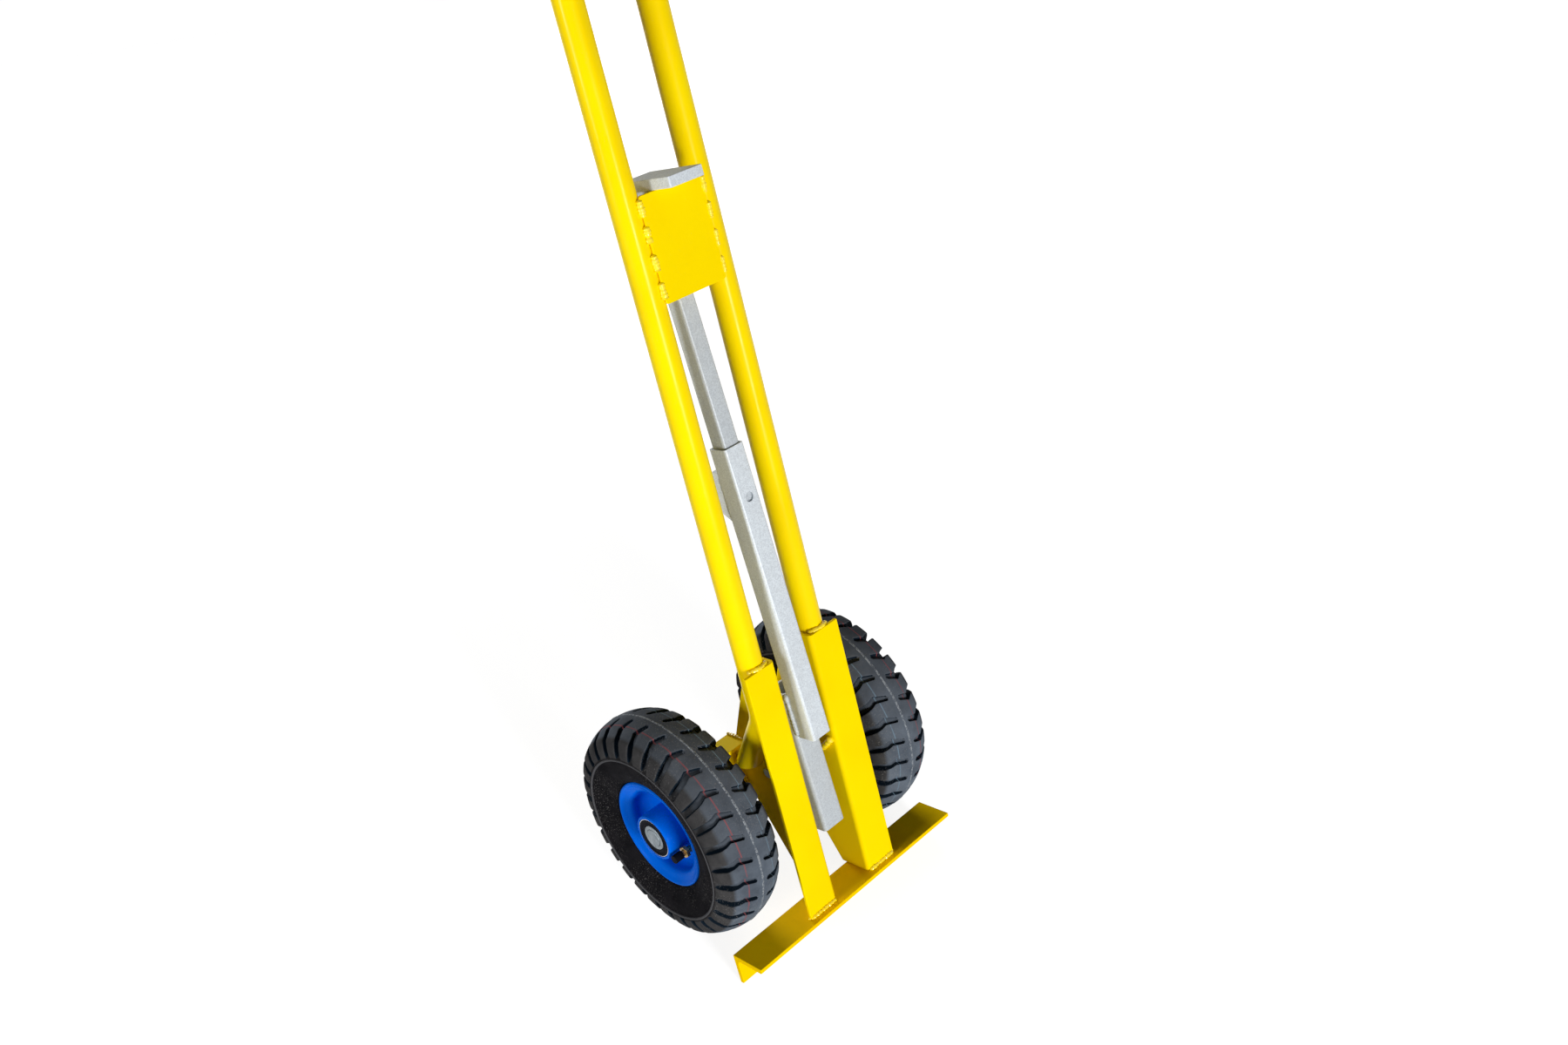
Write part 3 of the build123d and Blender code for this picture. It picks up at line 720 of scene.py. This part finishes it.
def tyre_rows(seed):
    """Rows of one side of the tyre, from the crown's middle round to the middle of the air space."""
    rng = random.Random(seed)
    waver = [rng.uniform(-1, 1) for _ in range(TOTAL_COLUMNS // WAVER_COLUMNS)]
    rows = [tread_row(length, waver) for length in TREAD_ROWS]
    last_row = rows[-1]
    plain_start = TREAD_ROWS[-1] + PLAIN_GAP
    plain = [point for point, length in zip(TREAD, TREAD_LENGTH) if length > plain_start]
    for index, (across, radius) in enumerate(plain + CAVITY):
        share = ease(index, 0, EVENING_ROWS)
        angles = [point[0] + (even - point[0]) * share for point, even in zip(last_row, EVEN_ANGLES)]
        rows.append([(angle, across, radius, 0.0) for angle in angles])
    return rows


def dress_tyre(label, side):
    """Block tread tyre: both sides from the same rows, the inner one turned over and staggered."""
    name = label + "_tyre"
    centre = Vector(WHEEL_CENTRE[side])
    rows = tyre_rows(TREAD_SEED + side)
    cavity_top = [(angle, 0.0, CAVITY_RADIUS, 0.0) for angle in EVEN_ANGLES]
    rings = [(row, 1) for row in [*rows, cavity_top]]
    rings += [(row, -1) for row in reversed(rows[1:])]
    points = []
    # Painted groove shade of each point
    painted_groove_shade = []
    for row, half in rings:
        for index in range(TOTAL_COLUMNS):
            if half > 0:
                angle, across, radius, groove_shade = row[index]
            else:
                angle, across, radius, groove_shade = row[(STAGGER + PITCH_COLUMNS - index) % TOTAL_COLUMNS]
                angle = STAGGER * PITCH / PITCH_COLUMNS - angle
            turned_angle = TREAD_PHASE + angle
            point = (half * across, radius * math.sin(turned_angle), radius * math.cos(turned_angle))
            points.append(tuple(centre + Vector(point) * MM))
            painted_groove_shade.append(groove_shade)
    faces = closed_grid(len(rings), TOTAL_COLUMNS)
    mesh = build(name, points, faces, TREAD_SHARP, painted_groove_shade)
    put("tread_" + name, mesh, TYRE, BODY_OF[name], [name])


# Rim, hub and bearings, turned from (along, radius) sections in millimetres

TURN_STEPS = 128
TURN_SHARP = 40.0


def turned(section, centre):
    """Points and faces of a closed section turned about the axle."""
    points = []
    for step in range(TURN_STEPS):
        angle = 2 * math.pi * step / TURN_STEPS
        for along, radius in section:
            y = centre[1] + radius * MM * math.cos(angle)
            z = centre[2] + radius * MM * math.sin(angle)
            points.append((centre[0] + along * MM, y, z))
    return points, closed_grid(TURN_STEPS, len(section))


def turned_rings(name, sections, side, material, node):
    """Turned rings about one wheel's axis, taking the place of a node."""
    points, faces = joined([turned(section, WHEEL_CENTRE[side]) for section in sections])
    put(name, build(name, points, faces, TURN_SHARP), material, BODY_OF[node], [node])


def arc(centre, radius, start, end, steps):
    """Points on an arc, angles in degrees."""
    points = []
    for step in range(steps + 1):
        angle = math.radians(start + (end - start) * step / steps)
        points.append((centre[0] + radius * math.cos(angle), centre[1] + radius * math.sin(angle)))
    return points


def ring_section(low, high, inner, outer, chamfer):
    """Closed section of a ring with small chamfers."""
    return [
        (low, inner + chamfer), (low, outer - chamfer), (low + chamfer, outer), (high - chamfer, outer),
        (high, outer - chamfer), (high, inner + chamfer), (high - chamfer, inner), (low + chamfer, inner),
    ]


def flipped(section):
    return [(-x, radius) for x, radius in section]


RIM_SHEET = 2.5
RIM_BACK = 0.1
RIM_FRONT = RIM_BACK + RIM_SHEET
RIM_BORE = 26.7
RIM_BEND = 14.0
RIM_BEND_CENTRE = (RIM_FRONT + RIM_BEND, 34.9)
RIM = [
    (28.0, 63.9), (29.0, 63.7), (29.8, 63.0), (30.2, 62.0), (29.9, 60.9), (28.9, 59.6), (27.6, 57.8),
    (26.7, 55.6), (26.0, 53.4), (25.0, 51.4), (23.4, 50.0), (21.2, 49.3), (18.6, 49.0),
]
RIM += arc(RIM_BEND_CENTRE, RIM_BEND, 88.0, 180.0, 14)
RIM += [(RIM_FRONT, 31.5), (RIM_FRONT, RIM_BORE), (RIM_BACK, RIM_BORE)]
RIM += arc(RIM_BEND_CENTRE, RIM_BEND + RIM_SHEET, 180.0, 88.0, 14)
RIM += [(21.0, 51.8), (22.4, 52.6), (23.4, 54.3), (24.2, 56.6), (25.2, 59.0), (26.4, 61.2), (27.3, 62.6)]
HUB_END = [(34.6, 26.5), (35.5, 26.0), (36.0, 24.9), (36.0, 23.6)]
HUB = flipped(reversed(HUB_END)) + HUB_END
BEARING_NEAR = 21.5
BEARING_FAR = 35.5
RACE = ring_section(BEARING_NEAR, BEARING_FAR, 20.0, 23.5, chamfer=0.6)
CONE = ring_section(BEARING_NEAR, BEARING_FAR, 10.05, 14.5, chamfer=0.5)
SEAL = [
    (35.4, 14.9), (35.4, 15.6), (35.0, 16.1), (35.0, 19.2), (35.7, 19.9), (35.9, 21.6), (35.7, 22.2),
    (35.55, 22.2), (35.55, 19.9), (33.9, 19.9), (33.9, 14.9),
]
SEAL_INSIDE = [(BEARING_NEAR + BEARING_FAR - x, radius) for x, radius in SEAL]


def dress_rim(label, side):
    """Both pressed halves of a rim and the hub through them."""
    outer = [(side * x, radius) for x, radius in RIM]
    turned_rings("bowl_" + label + "_outer", [outer], side, BLUE, label + "_rim_outer_half")
    turned_rings("bowl_" + label + "_inner", [flipped(outer)], side, BLUE, label + "_rim_inner_half")
    turned_rings("tube_" + label + "_hub", [HUB], side, BLUE, label + "_hub")


def dress_bearings(label, side):
    """Rings and seals of the bearings at both ends of a hub."""
    for kind, sections, material in (
        ("bearing_outer_rings", [RACE], BEARING),
        ("bearing_inner_rings", [CONE], STEEL),
        ("bearing_seals", [SEAL, SEAL_INSIDE], PLASTIC),
    ):
        node = label + "_" + kind
        both_ends = sections + [flipped(section) for section in sections]
        turned_rings(node + "_turned", both_ends, side, material, node)


for label, side in SIDES.items():
    dress_tyre(label, side)
    dress_rim(label, side)
    dress_bearings(label, side)

# Weld beads, with sizes in millimetres

BEAD_STEP = 0.9
BEAD_SIDES = 10
BEAD_LUMPS = (0.8, 1.25)
BEAD_WOBBLE = 0.07
BEAD_LEAST = 0.82
BEAD_RIPPLE = 0.26
BEAD_END = 0.25
BEAD_TAPER = 2.0
BEAD_SHARP = 60.0
BEAD_SEED = 100


def close_points(path):
    """Points along a path, about a bead step apart."""
    points = []
    for first, second in zip(path, path[1:]):
        count = max(int((second - first).length / (BEAD_STEP * MM)), 1)
        points += [first.lerp(second, step / count) for step in range(count)]
    return [*points, path[-1]]


def bead(path, radius, pitch, seed):
    """Points and faces of a weld bead along world points, with a ripple at each pitch."""
    rng = random.Random(seed)
    centres = close_points(path)
    last = len(centres) - 1
    lengths = [0.0]
    for first, second in zip(centres, centres[1:]):
        lengths.append(lengths[-1] + (second - first).length / MM)
    total = lengths[-1]
    lumps = [rng.uniform(*BEAD_LUMPS) for _ in range(int(total / pitch) + 3)]
    points = []
    for index, (centre, length) in enumerate(zip(centres, lengths)):
        along = (centres[min(index + 1, last)] - centres[max(index - 1, 0)]).normalized()
        if index == 0:
            across = along.orthogonal().normalized()
        else:
            across = (across - along * across.dot(along)).normalized()
        lift = along.cross(across)
        turn = length / pitch
        part = turn % 1
        lump = lumps[int(turn)] * (1 - part) + lumps[int(turn) + 1] * part
        ripple = BEAD_LEAST + BEAD_RIPPLE * abs(math.sin(math.pi * turn))
        end = min(1.0, BEAD_END + min(length, total - length) / BEAD_TAPER)
        size = radius * lump * ripple * end * MM
        for number in range(BEAD_SIDES):
            angle = 2 * math.pi * number / BEAD_SIDES
            wobble = 1.0 + rng.uniform(-BEAD_WOBBLE, BEAD_WOBBLE)
            spoke = across * math.cos(angle) + lift * math.sin(angle)
            points.append(tuple(centre + spoke * size * wobble))
    faces = []
    for index in range(last):
        for number in range(BEAD_SIDES):
            here = index * BEAD_SIDES + number
            beside = index * BEAD_SIDES + (number + 1) % BEAD_SIDES
            faces.append((here, beside, beside + BEAD_SIDES, here + BEAD_SIDES))
    faces.append(tuple(range(BEAD_SIDES)))
    faces.append(tuple(range(last * BEAD_SIDES, (last + 1) * BEAD_SIDES)))
    return points, faces


def beads(name, runs, material, body):
    """One piece with a bead along each run of (path, radius, pitch)."""
    parts = [bead(*run, BEAD_SEED + number) for number, run in enumerate(runs)]
    points, faces = joined(parts)
    put(name, build(name, points, faces, BEAD_SHARP), material, body)


# Radius and pitch of each kind of bead
WEB_BEAD = (2.8, 4.6)
FLANGE_BEAD = (2.0, 4.6)
EDGE_BEAD = (2.0, 4.0)
TUBE_BEAD = (2.7, 4.2)
PLATE_BEAD = {-1: (3.2, 3.4), 1: (2.5, 3.4)}
AXLE_BEAD = (2.0, 4.4)
FOOT_BEAD = (2.1, 4.4)
BRACKET_BEAD = (1.9, 4.2)
LUMP_BEAD = (3.8, 6.5)
TAIL_BEAD = (2.3, 4.0)
HOUSING_BEAD = (1.7, 3.6)
EAR_BEAD = (1.7, 3.8)
BAR_BEAD = (1.6, 3.4)

# Places of the beads on the frame
TOE_TOP = 0.4
WEB_STOPS = (27.5, 40.0, 52.0, 66.0)
WEB_EDGE = 66.8
WEB_EDGE_BACKS = (0.5, 3.8)
FLANGE_SIDE = 30.2
FLANGE_BACKS = (5.0, 20.0, 35.0)
LEG_TOP = 303.9
TUBE_RING = 15.4
TUBE_REACH = 13.4
TUBE_BEAD_BACKS = (2.6, 6.6)
TUBE_BEAD_SAG = 0.010
PLATE_EDGES = (37.3, 37.6)
PLATE_FRONT = 3.7
PLATE_UPS = (690.0, 716.0, 742.0, 766.0)
PLATE_BEAD_LENGTH = 17.0
AXLE_RING = 14.2
AXLE_SIDES = (30.6, 24.6)
FOOT_SIDE = 31.2
FOOT_OFFSET = 7.6
FOOT_STOPS = (22.0, 48.0, 76.0)
BRACKET_SIDE = 30.6
BRACKET_EDGE = [(83.0, 184.6), (98.0, 184.8), (111.0, 184.6), (112.6, 172.0), (112.6, 152.0)]
FLANGE_LUMP = [(24.2, 5.0, 177.0), (23.4, 13.0, 169.0), (24.2, 24.0, 160.0)]


def toe_runs(side):
    """A leg on the toe angle: before the web, along the flange and at the web's free edge."""
    web = [place(side * x, 0.0, TOE_TOP) for x in WEB_STOPS]
    flange = [place(side * FLANGE_SIDE, back, TOE_TOP) for back in FLANGE_BACKS]
    edge = [place(side * WEB_EDGE, back, TOE_TOP) for back in WEB_EDGE_BACKS]
    return [(web, *WEB_BEAD), (flange, *FLANGE_BEAD), (edge, *EDGE_BEAD)]


def tube_runs(side):
    """A handle tube at the top of its leg, round the front of the tube."""
    steps = 12
    nearest, farthest = TUBE_BEAD_BACKS
    path = []
    for step in range(-steps, steps + 1):
        x = step * TUBE_REACH / steps
        back = TUBE_BACK - math.sqrt(TUBE_RING ** 2 - x * x)
        up = LEG_TOP - TUBE_BEAD_SAG * x * x
        path.append(place(side * TUBE_SIDE + x, min(max(back, nearest), farthest), up))
    return [(path, *TUBE_BEAD)]


def plate_runs(side):
    """Four short beads between the name plate's edge and a tube."""
    low_x, high_x = PLATE_EDGES
    runs = []
    for up in PLATE_UPS:
        low = place(side * low_x, PLATE_FRONT, up)
        high = place(side * high_x, PLATE_FRONT, up + PLATE_BEAD_LENGTH)
        runs.append(([low, high], *PLATE_BEAD[side]))
    return runs


def axle_runs(side):
    """The axle tube in a flange, round both faces of the flange."""
    steps = 32
    runs = []
    for x in AXLE_SIDES:
        circle = []
        for step in range(steps + 1):
            angle = 2 * math.pi * step / steps
            back = AXLE[0] + AXLE_RING * math.cos(angle)
            up = AXLE[1] + AXLE_RING * math.sin(angle)
            circle.append(place(side * x, back, up))
        runs.append((circle, *AXLE_BEAD))
    return runs


def foot_runs(side):
    """The bent foot of a tube along the flange, at both sides of the tube."""
    runs = []
    for offset in (-FOOT_OFFSET, FOOT_OFFSET):
        path = []
        for along in FOOT_STOPS:
            back = TUBE_BACK + along * math.sin(FOOT_ANGLE) + offset * math.cos(FOOT_ANGLE)
            up = FOOT_BEND_UP - along * math.cos(FOOT_ANGLE) + offset * math.sin(FOOT_ANGLE)
            path.append(place(side * FOOT_SIDE, back, up))
        runs.append((path, *FOOT_BEAD))
    return runs


def bracket_runs(side):
    """The top and rear edges of an axle bracket on the flange."""
    path = [place(side * BRACKET_SIDE, back, up) for back, up in BRACKET_EDGE]
    return [(path, *BRACKET_BEAD)]


frame_runs = []
for side in SIDES.values():
    for runs_of in (toe_runs, tube_runs, plate_runs, axle_runs, foot_runs, bracket_runs):
        frame_runs += runs_of(side)
frame_runs.append(([place(*point) for point in FLANGE_LUMP], *LUMP_BEAD))
beads("frame_welds", frame_runs, YELLOW_BEAD, BODY_OF["left_leg"])

# Welds of the arm's tail, lock housing and hinge ears, as (side, back, places along the arm, bead)
ARM_LINES = (
    (13.3, -53.0, (50.0, 66.0, 82.0, 100.0), TAIL_BEAD),
    (9.7, -51.4, (302.0, 324.0, 347.0), HOUSING_BEAD),
    (11.2, -21.4, (-20.0, 0.0, 20.0), EAR_BEAD),
)
arm_runs = []
for side in SIDES.values():
    for x, back, stops, bead_size in ARM_LINES:
        arm_runs.append(([arm_place(side * x, back, along) for along in stops], *bead_size))
beads("arm_welds", arm_runs, DULL_ZINC, BODY_OF["arm_outer_tube"])

# Welds of the inner tube under the hook bar, on the tube's four sides
BAR_ALONG = 632.77
BAR_REACH = 10.3
BAR_BACKS = (-73.0, -64.0, -56.0)
BAR_SIDES = (-8.5, 0.0, 8.5)
INNER_TUBE_BACK = -64.5
bar_runs = []
for side in SIDES.values():
    flank = [arm_place(side * BAR_REACH, back, BAR_ALONG) for back in BAR_BACKS]
    face_back = INNER_TUBE_BACK + side * BAR_REACH
    face = [arm_place(x, face_back, BAR_ALONG) for x in BAR_SIDES]
    bar_runs += [(flank, *BAR_BEAD), (face, *BAR_BEAD)]
beads("bar_welds", bar_runs, ZINC, BODY_OF["hook_bar"])

# Camera at the photo's viewing angle
CAMERA_FROM_AXLE = Vector((-0.80173, -0.82116, 1.20905))
CAMERA_ANGLES = (52.794, -0.358, -45.379)
camera_data = bpy.data.cameras.new("camera")
camera_data.sensor_width = 36.0
camera_data.lens = 33.6
camera = new_object("camera", camera_data)
camera.location = Vector((0, AXLE_MIDDLE[1], AXLE_MIDDLE[2])) + CAMERA_FROM_AXLE
camera.rotation_euler = [math.radians(angle) for angle in CAMERA_ANGLES]
scene.camera = camera

# Light: soft lamps low in front and at the left side, a wide one behind, and an even sky
scene.view_settings.view_transform = "Standard"
SKY_LIGHT = 0.07
FLOOR_REACH = 9.0
FLOOR_LEVEL = -0.5 * MM


def lamp(name, location, aim_height, size, power):
    """Area lamp aimed at a height above the floor under the cart's middle."""
    data = bpy.data.lights.new(name, "AREA")
    data.shape = "RECTANGLE"
    data.size, data.size_y = size
    data.energy = power
    obj = new_object(name, data)
    obj.location = location
    obj.rotation_euler = (Vector((0, 0, aim_height)) - Vector(location)).to_track_quat("-Z", "Y").to_euler()


def seen_rays(tree):
    """One for rays from the camera, mirrors and glass, and nought for light that falls on the object."""
    path = add(tree, "ShaderNodeLightPath").outputs
    mirrored = math_node(tree, "MAXIMUM", path["Is Glossy Ray"], path["Is Transmission Ray"])
    return math_node(tree, "MAXIMUM", path["Is Camera Ray"], mirrored)


def floor_finish(name):
    """Pale matt floor that looks white and keeps the object's shadow."""
    material, tree, shader = new_material(name)
    shader.inputs["Base Color"].default_value = grey(0.4)
    shader.inputs["Roughness"].default_value = 0.9
    shader.inputs["Specular IOR Level"].default_value = 0.1
    shader.inputs["Emission Color"].default_value = WHITE
    far = add(tree, "ShaderNodeVectorMath", operation="LENGTH", Vector=coordinates(tree))
    glow = size_ramp(tree, far.outputs["Value"], 10000.0, [(600.0, 0.85), (4500.0, 1.0)])
    tree.links.new(times(tree, seen_rays(tree), glow), shader.inputs["Emission Strength"])
    return material


lamp("front_lamp", (-0.65, -3.05, 0.85), aim_height=0.45, size=(0.7, 0.8), power=91.0)
lamp("left_lamp", (-3.2, 0.15, 0.75), aim_height=0.45, size=(0.6, 0.8), power=50.0)
lamp("back_lamp", (0.9, 2.95, 0.6), aim_height=0.5, size=(1.3, 0.9), power=58.0)

world = bpy.data.worlds.new("sky")
scene.world = world
world.use_nodes = True
sky = world.node_tree
backdrop = sky.nodes["Background"]
backdrop.inputs["Color"].default_value = WHITE
strength = math_node(sky, "MULTIPLY_ADD", seen_rays(sky), 1.0 - SKY_LIGHT, SKY_LIGHT)
sky.links.new(strength, backdrop.inputs["Strength"])

floor_mesh = bpy.data.meshes.new("floor")
floor_signs = ((-1, -1), (1, -1), (1, 1), (-1, 1))
floor_corners = [(FLOOR_REACH * x, FLOOR_REACH * y, FLOOR_LEVEL) for x, y in floor_signs]
floor_mesh.from_pydata(floor_corners, [], [(0, 1, 2, 3)])
floor_mesh.materials.append(floor_finish("floor"))
floor = new_object("floor", floor_mesh)
